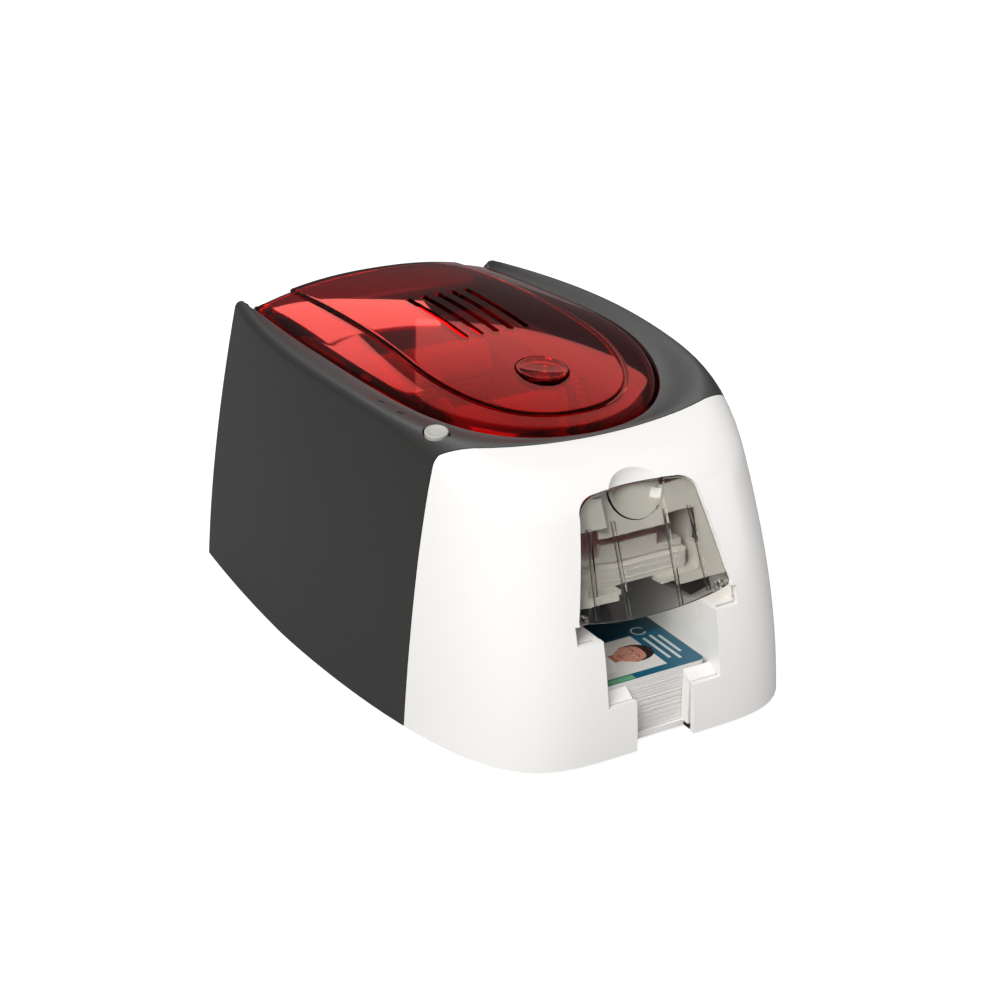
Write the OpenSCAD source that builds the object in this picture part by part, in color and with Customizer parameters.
// Compact card printer with a hinged clear lid, a drop-down feed door and a
// front output pocket. Millimetres. X is left to right seen from the front,
// the front faces -Y, and the feet stand on z = 0.

/* [Casing] */
// Length of the casing, front to back
body_length = 280.5; // [276:0.5:290]
// Half of the casing's width at its foot
half_width = 102.4; // [101:0.2:106]
// How far the nose leans back at a height of lean_height
nose_lean = 28.5; // [26:0.5:30]
// Thickness of the casing's walls
wall = 2.4; // [2:0.1:3]
// Height of the lid's dome over the middle of the casing
dome_height = 144.1; // [143:0.1:145]
// Height of the side ridges
ridge_height = 135.4; // [134.6:0.2:136]

/* [Lid] */
// Half of the lid's width at its widest place
lid_half_width = 70.5; // [70:0.1:71]
// Furthest point of the lid towards the front
lid_front = 79.3; // [78:0.1:79.4]
// Rear edge of the lid
lid_rear = 130.8; // [130:0.1:131]
// Gap round the lid
lid_gap = 1.7; // [1.2:0.1:1.8]
// How far the middle of the lid stands up inside its groove
lid_step = 0.6; // [0.4:0.1:0.8]
// Number of air slots
slot_count = 5; // [3:1:6]
// Distance between air slots
slot_pitch = 8; // [7:0.1:9]

/* [Cards] */
// Length of a card
card_l = 85.6; // [85.4:0.1:85.8]
// Width of a card
card_w = 54; // [53.9:0.02:54.1]
// Thickness of a card
card_t = 0.76; // [0.7:0.02:0.8]
// Printed cards lying in the pocket under the top one
stack_count = 32; // [10:1:32]
// Blank cards in the hopper above the one that feeds
blank_count = 9; // [4:1:12]

/* [Door] */
// Half of the door's width at its foot
door_half_foot = 38; // [37:0.2:38.4]
// Half of the door's width under its round shoulders
door_half_top = 29.4; // [28:0.2:30]
// Height of the door along its slope
door_h = 54; // [53:0.5:55]
// Radius of the finger scoop's ball shape
scoop_r = 17.5; // [17:0.1:18]

/* [Rollers and gears] */
// Radius of the driven rollers
roller_r = 6; // [5.8:0.1:6]
// Radius of the roller shafts
shaft_r = 2; // [1.8:0.1:2.2]
// Pitch radius of the drive gears
gear_r = 10; // [10:1:10]
// Teeth on a drive gear
gear_teeth = 20; // [20:1:20]

/* [Hidden] */
$fn = 48;

// Casing form: half widths, front line and crown, all as functions
lean_height = 112;
side_span = 130;
back_y = body_length / 2;
mid_y = 38.75;
foot_z = 1.6;
crown_y = 8.75;
seam_y = -72.25;
seam_bow = 12;
seam_half = 72;
plan_nx = 5.6;
front_round = 12;
side_round = 3.4;
function height_part(z) = z / side_span;
function wide(z) =
    half_width * (1 - 0.119 * height_part(z) - 0.018 * pow(height_part(z), 2));
function nose(z) = -back_y + nose_lean * pow(z / lean_height, 2);
function plan_ny(z) = 1.56 + 0.14 * height_part(z);
function rear_narrow(y, z) =
    1 - (0.04 + 0.107 * pow(height_part(z), 2)) * pow(max(0, y - mid_y) / 100, 2);
function along(y) = (y - crown_y) / 100;
// Along the middle of the nose, in the valley round the lid and on the ridges
function front_line(y) = 144.6 + 10 * along(y) - 11 * pow(along(y), 2) + 1.5 * pow(along(y), 3);
function valley(y) = let (q = along(y))
    133.6 + 4.3 * q - 12.8 * pow(q, 2) + 5.3 * pow(q, 3) + 8 * pow(q, 4) - 5.9 * pow(q, 5);
function ridge(y) = ridge_height + 2.9 * along(y) - 4.4 * pow(along(y), 2) + 1.4 * pow(along(y), 3);
function ridge_half(y) = 86.9 + 7.3 * along(y) - 12.8 * pow(along(y), 2);
// The opening the lid lies in: a long U with a round front
lid_mid = 49;
lid_power = 1.95;
lid_rise = 3;
lid_narrow = 0.08;
function opening_half(y) = (lid_half_width + lid_gap) * (y > lid_mid
    ? 1 - lid_narrow * pow((y - lid_mid) / 100, 2)
    : pow(max(0, 1 - pow((lid_mid - y) / (lid_mid + lid_front + lid_gap), lid_rise)), 1 / lid_power));
function soft_min(a, b, k) = min(a, b) - pow(max(0, k - abs(a - b)), 2) / (4 * k);
function eased(s) = let (c = min(1, max(0, s))) c * c * (3 - 2 * c);
function climb(x, y) = let (h = opening_half(y)) eased((abs(x) - h) / (0.96 * ridge_half(y) - h));
function top(x, y) = soft_min(front_line(y), valley(y) + (ridge(y) - valley(y)) * climb(x, y), 1.6);
// The lid is one dome that falls to the valley round it
function dome(y) = dome_height + 9.2 * along(y) - 11.2 * pow(along(y), 2) + 1.9 * pow(along(y), 3);
function lid_top(x, y) = dome(y) - max(0, dome(y) - valley(y) - 0.9)
    * pow(min(1.1, abs(x) / max(1, opening_half(y))), 2.28);
function seam(x) = abs(x) >= seam_half ? seam_y : seam_y - seam_bow * (1 - pow(abs(x) / seam_half, 2.4));

// Points round the casing: shares of the width along the nose, shares of the
// length down its cheeks, steps along the sides, shares of the width behind
nose_shares = [0, 0.2, 0.4, 0.55, 0.66, 0.75, 0.82, 0.88, 0.93, 0.96];
cheek_shares = [0.25, 0.12, 0];
side_steps = 5;
rear_shares = [0.78, 0.52, 0.26, 0];
half_n = len(nose_shares) + len(cheek_shares) + side_steps + len(rear_shares);
ring_n = 2 * half_n - 2;
function nose_point(f, z, d) = [f * (wide(z) - d),
    mid_y - (mid_y - nose(z) - d) * pow(1 - pow(f, plan_nx), 1 / plan_ny(z))];
function cheek_point(t, z, d) = [(wide(z) - d) * pow(1 - pow(t, plan_ny(z)), 1 / plan_nx),
    mid_y - (mid_y - nose(z) - d) * t];
function side_point(k, z, d) = let (y = mid_y + (back_y - d - mid_y) * k / side_steps)
    [wide(z) * rear_narrow(y, z) - d, y];
function half_point(i, z, d) =
    i < len(nose_shares) ? nose_point(nose_shares[i], z, d)
    : i < len(nose_shares) + len(cheek_shares) ? cheek_point(cheek_shares[i - len(nose_shares)], z, d)
    : i < half_n - len(rear_shares) ? side_point(i + 1 - len(nose_shares) - len(cheek_shares), z, d)
    : [side_point(side_steps, z, d)[0] * rear_shares[i - half_n + len(rear_shares)], back_y - d];
function plan(i, z, d) = i < half_n ? half_point(i, z, d)
    : let (p = half_point(ring_n - i, z, d)) [-p[0], p[1]];
function edge_step(i, z, d) = let (p = plan(i, z, d)) top(p[0], p[1]) - d;
function edge_z(i, d) = edge_step(i, edge_step(i, edge_step(i, 125, d), d), d);
function nose_part(i) = min(1, max(0, (10 - min(i, ring_n - i)) / 4));
function edge_round(i, d) = side_round + (front_round - side_round) * nose_part(i) - d * 0.8;
function wall_point(i, w, d, low) = let (r = edge_round(i, d), z = low + (edge_z(i, d) - r - low) * w)
    concat(plan(i, z, d), z);
function round_point(i, a, d, low) = let (r = edge_round(i, d), ze = edge_z(i, d),
    c = concat(plan(i, ze, d), ze), s = wall_point(i, 1, d, low),
    q = plan(i, ze, d + r), t = [q[0], q[1], top(q[0], q[1]) - d])
    c + (s - c) * (1 - sin(a)) + (t - c) * (1 - cos(a));
function crown_point(i, k, d, low) = let (p = round_point(i, 90, d, low),
    x = p[0] * k, y = crown_y + (p[1] - crown_y) * k) [x, y, top(x, y) - d];
wall_rings = [0, 0.25, 0.5, 0.72, 0.88, 1];
round_rings = [30, 60, 90];
crown_rings = [0.94, 0.87, 0.8, 0.6, 0.4, 0.2];
function skin_rings(d, low) = concat(
    [for (w = wall_rings) [for (i = [0 : ring_n - 1]) wall_point(i, w, d, low)]],
    [for (a = round_rings) [for (i = [0 : ring_n - 1]) round_point(i, a, d, low)]],
    [for (k = crown_rings) [for (i = [0 : ring_n - 1]) crown_point(i, k, d, low)]]);

// A closed solid through stacked rings of n points, closed by a fan at the top
module stacked(rings, n, tip) {
    m = len(rings);
    points = concat([for (r = rings) for (p = r) p], [tip]);
    faces = concat(
        [[for (i = [0 : n - 1]) i]],
        [for (j = [0 : m - 2]) for (i = [0 : n - 1]) [j * n + i, (j + 1) * n + i, (j + 1) * n + (i + 1) % n]],
        [for (j = [0 : m - 2]) for (i = [0 : n - 1])
            [j * n + i, (j + 1) * n + (i + 1) % n, j * n + (i + 1) % n]],
        [for (i = [0 : n - 1]) [(m - 1) * n + (i + 1) % n, (m - 1) * n + i, m * n]]);
    polyhedron(points = points, faces = faces, convexity = 8);
}
module skin(d, low) {
    stacked(skin_rings(d, low), ring_n, [0, crown_y, top(0, crown_y) - d]);
}
// Everything inside is taken as one mesh, at its own size
module as_mesh() {
    resize([0, 0, 0]) children();
}

// Outlines seen from above
lid_arc_steps = 18;
lid_side_steps = 5;
function lid_width(y, g) = (lid_half_width + g) * (1 - lid_narrow * pow(max(0, y - lid_mid) / 100, 2));
function lid_half(g) = concat(
    [for (k = [0 : lid_arc_steps]) let (a = 90 - 90 * k / lid_arc_steps)
        [(lid_half_width + g) * pow(cos(a), 2 / lid_power),
        lid_mid - (lid_mid + lid_front + g) * pow(sin(a), 2 / lid_rise)]],
    [for (k = [1 : lid_side_steps]) let (y = lid_mid + (lid_rear + g - lid_mid) * k / lid_side_steps)
        [lid_width(y, g), y]]);
function mirrored(half) = concat(half,
    [for (i = [len(half) - 1 : -1 : 0]) if (half[i][0] > 0.01) [-half[i][0], half[i][1]]]);
module lid_plan(g) {
    polygon(mirrored(lid_half(g)));
}
// The middle of the lid inside its groove: a long U, open at the rear
panel_half = 48;
panel_mid = 4;
panel_front = 68;
module panel_plan(g) {
    polygon(mirrored(concat(
        [for (k = [0 : 16]) let (a = 90 - 90 * k / 16)
            [(panel_half + g) * pow(cos(a), 0.9),
            panel_mid - (panel_front + g + panel_mid) * pow(sin(a), 0.9)]],
        [[panel_half + g - 1, lid_rear + 1]])));
}
// What lies before (-1) or behind (1) the seam, and a little past it
module seam_plan(side, past) {
    line = [for (k = [-8 : 8]) [seam_half * k / 8, seam(seam_half * k / 8) - side * past]];
    polygon(concat([[-130, side * 200], [-130, seam_y - side * past]], line,
        [[130, seam_y - side * past], [130, side * 200]]));
}
// A slab that follows the lid's dome between two heights above it
slab_nx = 16;
slab_ny = 18;
module lid_slab(low, high) {
    xs = [for (i = [0 : slab_nx]) -76 + 152 * i / slab_nx];
    ys = [for (j = [0 : slab_ny]) -84 + 218 * j / slab_ny];
    n = slab_nx + 1;
    total = n * (slab_ny + 1);
    points = concat([for (y = ys) for (x = xs) [x, y, lid_top(x, y) + low]],
        [for (y = ys) for (x = xs) [x, y, lid_top(x, y) + high]]);
    under = [for (j = [0 : slab_ny - 1]) for (i = [0 : slab_nx - 1]) let (a = j * n + i) each
        [[a, a + 1, a + n + 1], [a, a + n + 1, a + n]]];
    over = [for (f = under) [f[2] + total, f[1] + total, f[0] + total]];
    rim = concat([for (i = [0 : slab_nx - 1]) i], [for (j = [0 : slab_ny - 1]) j * n + slab_nx],
        [for (i = [slab_nx : -1 : 1]) slab_ny * n + i], [for (j = [slab_ny : -1 : 1]) j * n]);
    sides = [for (k = [0 : len(rim) - 1]) let (a = rim[k], b = rim[(k + 1) % len(rim)]) each
        [[b, a, a + total], [b, a + total, b + total]]];
    polyhedron(points = points, faces = concat(under, over, sides), convexity = 6);
}
module prism(low, high) {
    translate([0, 0, low]) linear_extrude(high - low) children();
}
module box(x0, x1, y0, y1, z0, z1) {
    translate([x0, y0, z0]) cube([x1 - x0, y1 - y0, z1 - z0]);
}
module both() {
    children();
    mirror([1, 0, 0]) children();
}
// A rod along X between two places
module rod_x(x0, x1, y, z, r) {
    translate([x0, y, z]) rotate([0, 90, 0]) cylinder(r = r, h = x1 - x0);
}

// Inner layout
deck_z = 68;
drive_z = deck_z - 0.05 - roller_r;
pickup_y = -52;
feed_y = 8;
platen_y = 38;
exit_y = 68;
plate_x = 34;
plate_t = 2;
gear_x0 = -45;
gear_x1 = -39;
run = 0.05;
card_y0 = -130.1;
stack_z0 = 5.1;
stack_top = stack_z0 + stack_count * card_t;
hopper_y0 = -111.2;
hopper_y1 = hopper_y0 + card_l;

// The door's own slope: local z runs up the door and local -y is outwards
door_y = -129.4;
door_z = 60;
door_lean = 21.1;
door_t = 2;
hinge_h = 3.6;
hinge_in = 2.4;
hinge_r = 1.2;
scoop_h = 53.5;
module at_door() {
    translate([0, door_y, door_z]) rotate([-door_lean, 0, 0]) children();
}
module sloped(y0, y1) {
    at_door() translate([0, y1, 0]) rotate([90, 0, 0]) linear_extrude(y1 - y0) children();
}
module door_plan(g) {
    h = door_h + g;
    f = door_half_foot + g;
    t = door_half_top + g;
    polygon(mirrored(concat([[0, -1.2 - g], [18, -0.4 - g], [30, 1.4 - g], [f - 3, 2.6 - g], [f, 4.6 - g]],
        [for (a = [0 : 15 : 75]) [t - 10 + 10 * cos(a), h - 9 + 8 * sin(a)]], [[14, h]])));
}

module base_chassis() {
    color("#3a3938") difference() {
        union() {
            prism(foot_z, 3.6) polygon(mirrored(concat(
                [for (i = [0 : half_n - len(rear_shares) - 1]) half_point(i, 3, 4)])));
            for (y = [-60, 20, 110]) both() box(37, 41, y, y + 14, 3.6, 10);
            for (y = [52, 128]) both() translate([28, y, 3.6]) cylinder(r = 3, h = 8.4);
        }
        box(-15.2, 15.2, -150, -131, 0, 10);
        for (y = [0, 55], x = [57 : 5 : 72]) both() box(x, x + 2.4, y, y + 26, 0, 10);
        for (x = [-72, 72], y = [-84, 112]) translate([x, y, 0]) cylinder(r = 3.05, h = 10);
        for (y = [-53, 27, 117]) both() translate([39, y, 5]) cylinder(r = 1.25, h = 9);
    }
}

module horn_block() {
    as_mesh() intersection() {
        skin(0.4, foot_z);
        box(69, 78, 127, 138, 121, 150);
    }
}
module rear_shell() {
    color("#464544") difference() {
        union() {
            as_mesh() difference() {
                skin(0, foot_z);
                difference() {
                    skin(wall, -5);
                    box(-69, 69, 131.6, 150, 119.6, 122.4);
                }
                prism(-10, 200) seam_plan(-1, 0.25);
                prism(100, 200) lid_plan(lid_gap);
                box(-68.4, 68.4, 130, 150, 122.4, 160);
                translate([power_x, power_y, 90]) cylinder(r = 6, h = 80, $fn = 24);
                for (p = lens_at) translate([p[0], p[1], 100]) cylinder(r = 1.5, h = 60, $fn = 12);
                box(5.4, 21.2, 130, 150, 11.8, 24.2);
                box(-30.2, -15.8, 130, 150, 11.8, 26.2);
            }
            both() horn_block();
        }
        rod_x(-75, 75, hinge_y, hinge_z, 2.02);
    }
}

module front_casing() {
    color("#f4f3f1") as_mesh() difference() {
        union() {
            difference() {
                skin(0, foot_z);
                skin(wall, -5);
            }
            intersection() {
                skin(0.3, foot_z);
                sloped(-6, 8.6) translate([-19, door_h + 0.2]) square([38, 17]);
            }
        }
        prism(-10, 200) seam_plan(1, 0.25);
        sloped(-12, 12) door_plan(0.5);
        both() at_door() rod_x(32.6, 35.6, hinge_in, hinge_h, 3.7);
        sloped(-12, 12) both() translate([34.8, 0.6]) square([3.7, 4]);
        at_door() translate([0, -door_t - scoop_r + 7, scoop_h]) sphere(r = scoop_r, $fn = 40);
        box(-28.5, 28.5, -150, -118, 25, 56);
        box(-40.6, 40.6, -150, -118, 54.5, 62.6);
        box(-14.5, 14.5, -150, -130, 0, 30);
    }
}

hinge_y = 132.8;
hinge_z = 127.4;
button_y = -35.4;
button_r = 12;
module lid_slots() {
    for (k = [0 : slot_count - 1]) translate([(k - (slot_count - 1) / 2) * slot_pitch, 0, 100])
        linear_extrude(80) union() {
            translate([-1.6, 6.3]) square([3.2, 56.9]);
            translate([0, 6.3]) circle(r = 1.6);
            translate([0, 63.2]) circle(r = 1.6);
        }
}
module top_cover() {
    color("#a5121a") difference() {
        union() {
            as_mesh() difference() {
                intersection() {
                    prism(80, 200) lid_plan(0);
                    union() {
                        lid_slab(-2.4, 0);
                        intersection() {
                            lid_slab(-2.4, lid_step);
                            prism(80, 200) panel_plan(0);
                        }
                        difference() {
                            lid_slab(-7, -0.4);
                            prism(80, 200) lid_plan(-2);
                        }
                        intersection() {
                            lid_slab(-14, -0.4);
                            box(-66, 66, lid_rear - 2.2, lid_rear + 5, 100, 160);
                        }
                    }
                }
                intersection() {
                    lid_slab(-0.6, 5);
                    prism(80, 200) difference() {
                        panel_plan(1.2);
                        panel_plan(0);
                    }
                }
                lid_slots();
                translate([0, button_y, 100]) cylinder(r = button_r + 0.4, h = 80, $fn = 36);
            }
            both() rod_x(59, 65.8, hinge_y, hinge_z, 3.9);
            both() box(59, 65.8, lid_rear - 2.2, hinge_y, hinge_z, hinge_z + 3.9);
        }
        rod_x(-75, 75, hinge_y, hinge_z, 2 + run);
    }
}

// The round release button lies flatter than the lid, so its front edge stands up
button_tilt = 6.8;
button_up = 1;
module cover_button() {
    color("#8c0f16") translate([0, button_y, lid_top(0, button_y) + lid_step + button_up])
        rotate([button_tilt, 0, 0]) {
        difference() {
            translate([0, 0, -3.4]) cylinder(r = button_r, h = 3.4);
            translate([0, 0, 64]) sphere(r = 65.1, $fn = 240);
        }
        translate([0, 0, -9]) difference() {
            cylinder(r = 6, h = 7);
            translate([0, 0, -1]) cylinder(r = 4.6, h = 7);
        }
    }
}

module cover_hinge_pins() {
    color("silver") both() rod_x(58, 74, hinge_y, hinge_z, 2);
}

// A dark tub under the lid with the mechanism's opening in it
module inner_deck() {
    color("#2a2626") difference() {
        union() {
            prism(112, 114) lid_plan(-4);
            difference() {
                prism(98, 114) polygon([[-48, -62], [48, -62], [48, 116], [-48, 116]]);
                box(-46, 46, -60, 114, 90, 120);
            }
        }
        box(-46, 46, -60, 114, 90, 120);
        box(-70, 70, 121, 140, 100, 130);
    }
}

module feeder_door() {
    color([0.55, 0.55, 0.55, 0.6]) difference() {
        union() {
            sloped(-door_t, 0) door_plan(0);
            intersection() {
                at_door() translate([0, -door_t - scoop_r + 7, scoop_h]) sphere(r = scoop_r + 1.8);
                sloped(-door_t, 9) translate([-16, 34]) square([32, door_h - 35]);
            }
            both() {
                at_door() box(12.4, 13.6, -0.5, 2, -0.5, 37);
                at_door() translate([27.8, 0, 3]) rotate([0, -4.6, 0]) box(-0.6, 0.6, -0.5, 2, 0, 38);
                at_door() rod_x(33, 35.2, hinge_in, hinge_h, 2.2);
                at_door() box(33, 35.2, -0.5, hinge_in, hinge_h - 1.4, hinge_h + 2);
                at_door() rod_x(34.6, 41.7, hinge_in, hinge_h, hinge_r);
            }
        }
        at_door() translate([0, -door_t - scoop_r + 7, scoop_h]) sphere(r = scoop_r);
    }
}

power_x = -67;
power_y = -61.1;
module power_button() {
    color("#b5b4ae") translate([power_x, power_y, top(power_x, power_y)]) rotate([11, -5, 0]) {
        translate([0, 0, -3.4]) cylinder(r = 5.1, h = 4.2);
        translate([0, 0, -power_stem]) cylinder(r = 2.4, h = power_stem - 2.6);
    }
}
board_z = 111;
lens_at = [[-73.2, -22.7], [-71.7, -37]];
power_stem = top(power_x, power_y) - board_z - 4.6;
module panel_board() {
    color("#2f6b3c") union() {
        box(-75.6, -56, -64.6, -18, board_z - 1.6, board_z);
        box(-70, -64, -64.1, -58.1, board_z, board_z + 3.5);
        for (p = lens_at) box(p[0] - 1.5, p[0] + 1.5, p[1] - 1.5, p[1] + 1.5, board_z, board_z + 1.6);
        for (y = [-50, -28]) box(-62, -58, y - 1, y + 1, board_z, board_z + 0.8);
    }
}
module status_lenses() {
    color("#8fb0c8") for (p = lens_at)
        translate([p[0], p[1], board_z + 2]) cylinder(r = 1.3, h = top(p[0], p[1]) - board_z - 2.1);
}

module output_tray() {
    color("#ecebe8") difference() {
        union() {
            box(-31, 31, -130.6, -42, 3.7, 5);
            both() box(28.7, 31, -130, -42, 4, 54.3);
            both() box(28.7, 42, -129.1, -108, 52.4, 54.4);
            both() translate([40.8, 0, 0]) rotate([90, 0, 90]) linear_extrude(1.8)
                polygon([[-127.4, 54.3], [-127.4, 57], [-126.5, 61.5], [-126.5, 63.8],
                    [-124.2, 70], [-124.2, 72], [-108, 72], [-108, 54.3]]);
            box(-31, 31, -43.6, -42, 4, 33);
            both() translate([28.4, 0, 0]) rotate([0, -90, 0]) linear_extrude(13.7)
                polygon([[4, -135.6], [24.9, -135.6], [28.4, -130.4], [4, -130.4]]);
        }
        for (x = [-20, 20]) box(x - 4, x + 4, -120, -60, 0, 10);
        at_door() rod_x(-50, 50, hinge_in, hinge_h, hinge_r + run);
    }
}

module hopper_panel() {
    color("#cfcecb") difference() {
        sloped(3.2, 5) translate([-40.8, 8.2]) square([81.6, 42.8]);
        sloped(0, 8) translate([-29, 11.8]) square([58, 26.8]);
        sloped(0, 8) translate([-15, 0]) square([30, 60]);
    }
}

module card_hopper() {
    color("#4a4947") difference() {
        union() {
            box(-31, 31, -117, -24, deck_z - 2, deck_z);
            both() box(29, 31, -108, -24, deck_z, 98);
            box(-31, 31, -24.6, -23, deck_z + 1.3, 98);
            both() box(29, 31, -117, -108, deck_z, 78);
        }
        box(-22, 22, pickup_y - 8, pickup_y + 8, 60, 70);
        box(-10, 10, -118, -92, 60, 70);
        box(-20, 20, -30, -20, 78, 100);
    }
}
weight_z = deck_z + (blank_count + 1) * card_t + 0.6;
module card_weight() {
    color("#c9c8c5") union() {
        box(-26, 26, -107, -46, weight_z, weight_z + 3);
        box(-14, 14, -107, -105, weight_z, weight_z + 16);
        both() box(24, 26, -100, -50, weight_z, weight_z + 8);
        box(-26, 26, -76, -74, weight_z, weight_z + 8);
    }
}

module card_plan(dx, dy) {
    r = 3.2;
    translate([-card_w / 2 + dx, dy]) union() {
        translate([r, 0]) square([card_w - 2 * r, card_l]);
        translate([0, r]) square([card_w, card_l - 2 * r]);
        for (x = [r, card_w - r], y = [r, card_l - r]) translate([x, y]) circle(r = r);
    }
}
module blank_cards() {
    color("#e9e9e6") for (k = [0 : blank_count - 1])
        prism(deck_z + 0.1 + card_t * (k + 1), deck_z + 0.1 + card_t * (k + 2))
        card_plan(0.12 * sin(k * 97), hopper_y0 + 0.15 * sin(k * 61));
}
module feed_card() {
    color("#f4f4f2") prism(deck_z + 0.03, deck_z + 0.03 + card_t) card_plan(0, hopper_y0);
}
module card_stack() {
    color("#dcdcda") for (k = [0 : stack_count - 1])
        prism(stack_z0 + card_t * k, stack_z0 + card_t * (k + 1))
        card_plan(0.16 * sin(k * 83), card_y0 + 0.2 * sin(k * 47));
}
module printed_card() {
    color("#0f5068") prism(stack_top + 0.03, stack_top + 0.03 + card_t) card_plan(0, card_y0);
}

shaft_ys = [pickup_y, feed_y, platen_y, exit_y];
pinch_r = 5;
pinch_z = deck_z + 0.1 + card_t + pinch_r;
clean_y = -9;
clean_r = 7;
clean_z = deck_z + 0.1 + card_t + clean_r;
arm_y = 98;
arm_z = 88;
module plate_plan() {
    difference() {
        polygon([[-62, 3.7], [112, 3.7], [112, 96], [86, 100], [78, 92], [-8, 92], [-24, 84], [-62, 74]]);
        translate([-40, 12]) square([64, 26]);
        translate([36, 10]) square([34, 20]);
        for (y = shaft_ys) translate([y, drive_z]) circle(r = 4);
        for (y = [feed_y, exit_y]) translate([y, pinch_z]) circle(r = shaft_r + run);
        translate([clean_y, clean_z]) circle(r = shaft_r + run);
    }
}
module side_plate(x) {
    translate([x, 0, 0]) rotate([90, 0, 90]) linear_extrude(plate_t) plate_plan();
}
module side_plate_left() {
    color("#b9bcbf") difference() {
        union() {
            side_plate(-plate_x - plate_t);
            for (p = [[-22, 5], [23, 2.4], [53, 2.4]])
                rod_x(-45.6, -plate_x - 1, p[0], drive_z, p[1] == 5 ? 3 : 2);
            rod_x(-37.6, -35, -22, drive_z, 5);
            for (y = [23, 53]) rod_x(-37.6, -35, y, drive_z, 3.4);
        }
        for (y = [-60, 104], z = [20]) rod_x(-50, 0, y + 4, z, 1.6);
    }
}
module side_plate_right() {
    color("#b9bcbf") difference() {
        side_plate(plate_x);
        for (y = [-60, 104], z = [20]) rod_x(0, 50, y + 4, z, 1.6);
    }
}
module tie_rods() {
    color("#d0d2d4") {
        for (p = [[-38.5, 50], [30, 32], [104, 76]]) rod_x(-plate_x, plate_x, p[0], p[1], 2.5);
        rod_x(-plate_x, plate_x, arm_y, arm_z, 2.5);
    }
}

module roller(y) {
    color("#34302f") difference() {
        rod_x(-19, 19, y, drive_z, roller_r);
        rod_x(-30, 30, y, drive_z, shaft_r);
    }
}
module long_roller(y) {
    color("#34302f") difference() {
        rod_x(-28.5, 28.5, y, drive_z, roller_r);
        rod_x(-30, 30, y, drive_z, shaft_r);
    }
}
module pickup_roller() { roller(pickup_y); }
module feed_roller() { long_roller(feed_y); }
module platen_roller() { long_roller(platen_y); }
module exit_roller() { long_roller(exit_y); }
module shaft(y) {
    color("#c6c8ca") rod_x(-46, 38.4, y, drive_z, shaft_r);
}
module pickup_shaft() { shaft(pickup_y); }
module feed_shaft() { shaft(feed_y); }
module platen_shaft() { shaft(platen_y); }
module exit_shaft() { shaft(exit_y); }

// Spur gear in the plane across X, teeth slimmer than their gaps
gear_module = 2 * gear_r / gear_teeth;
module gear_plan(teeth, turn) {
    r = teeth * gear_module / 2;
    foot = r - 0.95;
    tip = r + 0.78;
    step = 360 / teeth;
    rotate(turn) polygon([for (k = [0 : teeth - 1]) each [
        foot * [cos(k * step - step * 0.27), sin(k * step - step * 0.27)],
        tip * [cos(k * step - step * 0.1), sin(k * step - step * 0.1)],
        tip * [cos(k * step + step * 0.1), sin(k * step + step * 0.1)],
        foot * [cos(k * step + step * 0.27), sin(k * step + step * 0.27)]]]);
}
module gear(y, z, teeth, turn, bore, hub) {
    color("#e6e2d6") translate([gear_x0, y, z]) rotate([90, 0, 90]) difference() {
        union() {
            linear_extrude(gear_x1 - gear_x0) gear_plan(teeth, turn);
            cylinder(r = hub, h = gear_x1 - gear_x0 + 1);
        }
        translate([0, 0, -1]) cylinder(r = bore, h = 20);
    }
}
module pickup_gear() { gear(pickup_y, drive_z, gear_teeth, 0, shaft_r, 4); }
module feed_gear() { gear(feed_y, drive_z, gear_teeth, 0, shaft_r, 4); }
module platen_gear() { gear(platen_y, drive_z, gear_teeth, 0, shaft_r, 4); }
module exit_gear() { gear(exit_y, drive_z, gear_teeth, 0, shaft_r, 4); }
module large_idler() { gear(-22, drive_z, 40, 4.5, 3 + run, 6); }
module front_idler() { gear(23, drive_z, 10, 18, shaft_r + run, 3.2); }
module rear_idler() { gear(53, drive_z, 10, 18, shaft_r + run, 3.2); }

module pinch(y) {
    color("#6f6d6b") union() {
        rod_x(-27, 27, y, pinch_z, pinch_r);
        rod_x(-37.4, 37.4, y, pinch_z, shaft_r);
    }
}
module pinch_roller_front() { pinch(feed_y); }
module pinch_roller_rear() { pinch(exit_y); }
module cleaning_roller() {
    color("#b03a52") union() {
        rod_x(-27, 27, clean_y, clean_z, clean_r);
        rod_x(-37.4, 37.4, clean_y, clean_z, shaft_r);
    }
}
module shaft_bushes() {
    color("#c9a24a") for (y = shaft_ys, s = [-1, 1]) difference() {
        union() {
            rod_x(s * 35 - 1, s * 35 + 1, y, drive_z, 4);
            rod_x(s * 32.8 - 1.2, s * 32.8 + 1.2, y, drive_z, 5.4);
        }
        rod_x(s * 35 - 5, s * 35 + 5, y, drive_z, shaft_r + run);
    }
}

motor_y = exit_y + 10.62;
motor_z = drive_z - 10.62;
module drive_motor() {
    color("#2e2e30") difference() {
        union() {
            translate([-74, motor_y - 17.5, motor_z - 17.5]) cube([25, 35, 35]);
            rod_x(-49.2, -47.6, motor_y, motor_z, 11);
            rod_x(-76, -74, motor_y, motor_z, 8);
        }
        rod_x(-58, -45, motor_y, motor_z, 1.5 + run);
    }
}
module motor_bracket() {
    color("#9ea1a4") difference() {
        union() {
            box(-49, -47.4, motor_y - 20, motor_y + 20, 3.7, motor_z + 20);
            box(-49, -36, motor_y + 18.4, motor_y + 20, 10, 40);
        }
        rod_x(-60, -40, motor_y, motor_z, 11.05);
        rod_x(-60, -40, exit_y, drive_z, 8);
    }
}
module motor_pinion() {
    color("#d8b45c") union() {
        gear_solid(motor_y, motor_z, 10, 135);
        rod_x(-56, -39.2, motor_y, motor_z, 1.5);
    }
}
module gear_solid(y, z, teeth, turn) {
    translate([gear_x0, y, z]) rotate([90, 0, 90]) linear_extrude(gear_x1 - gear_x0) gear_plan(teeth, turn);
}

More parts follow.
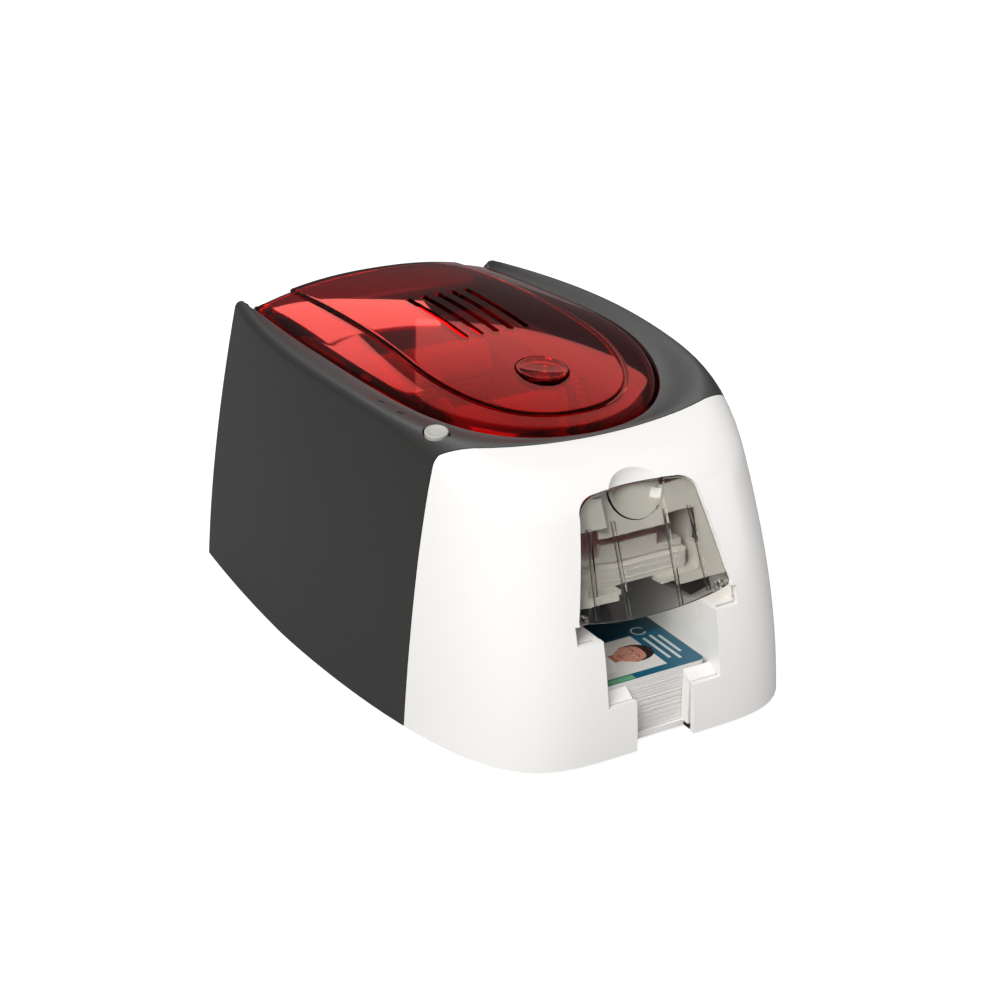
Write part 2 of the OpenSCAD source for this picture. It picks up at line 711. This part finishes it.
supply_y = 74;
takeup_y = 2;
spool_z = 104;
guide_ys = [20, 56];
guide_z = 80;
module spool(y, film_r, shade) {
    color(shade) union() {
        rod_x(-28.5, 28.5, y, spool_z, film_r);
        rod_x(-29.6, -28.4, y, spool_z, 13);
        rod_x(28.4, 29.6, y, spool_z, 13);
        rod_x(-36.4, 36.4, y, spool_z, 3);
    }
}
module supply_spool() { spool(supply_y, 11.4, "#8a2430"); }
module takeup_spool() {
    union() {
        spool(takeup_y, 7.6, "#4b2b56");
        color("#d8d2c4") translate([36.2, takeup_y, spool_z]) rotate([90, 0, 90]) linear_extrude(4)
            gear_plan(24, 0);
    }
}
// The film runs down from the supply, under the print line and up again
line_z = deck_z + 0.03 + card_t + 0.35;
film_path = [[64.4, 97.3], [58.4, 79.8], [57.2, 77.8], [44, line_z], [32, line_z], [18.8, 77.8],
    [17.6, 79.8], [8.5, 99.5]];
film_t = 0.2;
function film_side(i, s) = let (a = film_path[max(0, i - 1)], b = film_path[min(len(film_path) - 1, i + 1)],
    d = (b - a) / norm(b - a)) film_path[i] + s * film_t / 2 * [d[1], -d[0]];
module ribbon_film() {
    color("#5a2a3a") translate([-28, 0, 0]) rotate([90, 0, 90]) linear_extrude(56)
        polygon(concat([for (i = [0 : len(film_path) - 1]) film_side(i, 1)],
            [for (i = [len(film_path) - 1 : -1 : 0]) film_side(i, -1)]));
}
module cassette_frame() {
    color("#3b2f33") difference() {
        union() {
            for (s = [-1, 1]) translate([s * 32.6 - 0.9, 0, 0]) rotate([90, 0, 90]) linear_extrude(1.8)
                polygon([[-12, 93.4], [13, 95], [16, 77.5], [24, 77.5], [27, 96], [49, 98], [52, 77.5], [60, 77.5],
                    [63, 99], [88, 101], [88, 110], [80, 115], [68, 115], [60, 110], [14, 110], [8, 115], [-4, 115],
                    [-12, 109]]);
            for (y = guide_ys) rod_x(-33, 33, y, guide_z, 2);
            for (y = [30, 46]) rod_x(-33, 33, y, 108.2, 1.5);
        }
        for (y = [supply_y, takeup_y]) rod_x(-40, 40, y, spool_z, 3 + run);
    }
}
ribbon_gear_z = spool_z - 17.05;
module ribbon_motor() {
    color("#9b9da0") difference() {
        union() {
            rod_x(44, 66, takeup_y, ribbon_gear_z, 10);
            box(42.4, 44, takeup_y - 12, takeup_y + 12, ribbon_gear_z - 12, ribbon_gear_z + 10);
            box(36, 44, takeup_y - 12, takeup_y - 10, ribbon_gear_z - 6, ribbon_gear_z);
        }
        rod_x(40, 50, takeup_y, ribbon_gear_z, 1.2 + run);
    }
}
module ribbon_pinion() {
    color("#d8b45c") union() {
        translate([36.4, takeup_y, ribbon_gear_z]) rotate([90, 0, 90]) linear_extrude(3.6) gear_plan(10, 108);
        rod_x(36.4, 49, takeup_y, ribbon_gear_z, 1.2);
    }
}

module head_arm() {
    color("#8f9396") difference() {
        union() {
            both() translate([30.2, 0, 0]) rotate([90, 0, 90]) linear_extrude(1.2)
                polygon([[27, 76], [47, 76], [50, 86], [92, 84], [98, 83], [103, 84], [103, 92], [98, 93], [92, 91],
                    [60, 89], [27, 89]]);
            box(-31, 31, 27, 47, 84.4, 86);
            both() rod_x(26, 31.4, arm_y, arm_z, 5);
        }
        rod_x(-40, 40, arm_y, arm_z, 2.5 + run);
    }
}
module thermal_head() {
    color("#5c6064") union() {
        box(-28, 28, 30, 46, 76, 84.3);
        box(-28, 28, 34, 42, line_z + 0.6, 76);
        for (y = [31 : 3 : 44]) box(-26, 26, y, y + 1, 84, 84.4);
    }
}

flap_y = 90;
module path_flap() {
    color("#4f4d4a") union() {
        rod_x(-33.4, 33.4, flap_y, 64, 2);
        for (x = [-20 : 10 : 20]) translate([x - 1.5, 0, 0]) rotate([90, 0, 90]) linear_extrude(3)
            polygon([[flap_y - 1.5, 65], [flap_y - 1.5, 67.4], [flap_y, 67.6], [flap_y + 26, 67.6],
                [flap_y + 26, 65], [flap_y, 62]]);
        box(-28, 28, flap_y + 10, flap_y + 12, 65.4, 67.4);
    }
}
module return_chute() {
    color("#53514e") union() {
        translate([0, -40, 34]) rotate([10.2, 0, 0]) {
            box(-29, 29, 0, 124, -1.2, 0);
            both() box(29, 30.4, 0, 124, -1.2, 5);
        }
        both() box(30, 33.9, 8, 12, 37, 44);
        both() box(30, 33.9, 60, 64, 46, 53);
    }
}

module main_board() {
    color("#2b7042") union() {
        box(-32, 32, 46, 136, 12, 13.6);
        box(-20, -4, 80, 96, 13.6, 15.6);
        box(6, 16, 66, 90, 13.6, 15);
        box(-28, -22, 56, 76, 13.6, 20);
        for (y = [58, 72, 100]) translate([24, y, 13.6]) cylinder(r = 4, h = 12);
        box(-8, 2, 104, 128, 13.6, 19);
    }
}
module usb_socket() {
    color("#c2c4c6") difference() {
        box(-29.6, -16.4, 124, 138.4, 13.7, 25.4);
        box(-27.4, -18.6, 128, 140, 15.6, 23.4);
    }
}
module power_jack() {
    color("#1d1d1e") difference() {
        box(6, 20.6, 122, 138.6, 13.7, 23.6);
        translate([13.3, 126, 18.6]) rotate([-90, 0, 0]) cylinder(r = 4.2, h = 20);
    }
}
module rubber_feet() {
    color("#232323") for (x = [-72, 72], y = [-84, 112]) translate([x, y, 0]) union() {
        cylinder(r = 8, h = 1.6);
        cylinder(r = 3, h = 5);
        translate([0, 0, 3.7]) cylinder(r = 4, h = 1.3);
    }
}
module chassis_screws() {
    color("#7d7f82") for (x = [-39, 39], y = [-53, 27, 117]) translate([x, y, 0]) union() {
        translate([0, 0, 5.4]) cylinder(r = 1.2, h = 6);
        translate([0, 0, 10]) cylinder(r = 2.6, h = 1.8);
    }
}

base_chassis();
rear_shell();
front_casing();
top_cover();
cover_button();
cover_hinge_pins();
inner_deck();
feeder_door();
power_button();
panel_board();
status_lenses();
output_tray();
hopper_panel();
card_hopper();
card_weight();
blank_cards();
feed_card();
card_stack();
printed_card();
side_plate_left();
side_plate_right();
tie_rods();
pickup_roller();
feed_roller();
platen_roller();
exit_roller();
pickup_shaft();
feed_shaft();
platen_shaft();
exit_shaft();
pickup_gear();
feed_gear();
platen_gear();
exit_gear();
large_idler();
front_idler();
rear_idler();
pinch_roller_front();
pinch_roller_rear();
cleaning_roller();
shaft_bushes();
drive_motor();
motor_bracket();
motor_pinion();
supply_spool();
takeup_spool();
ribbon_film();
cassette_frame();
ribbon_motor();
ribbon_pinion();
head_arm();
thermal_head();
path_flap();
return_chute();
main_board();
usb_socket();
power_jack();
rubber_feet();
chassis_screws();
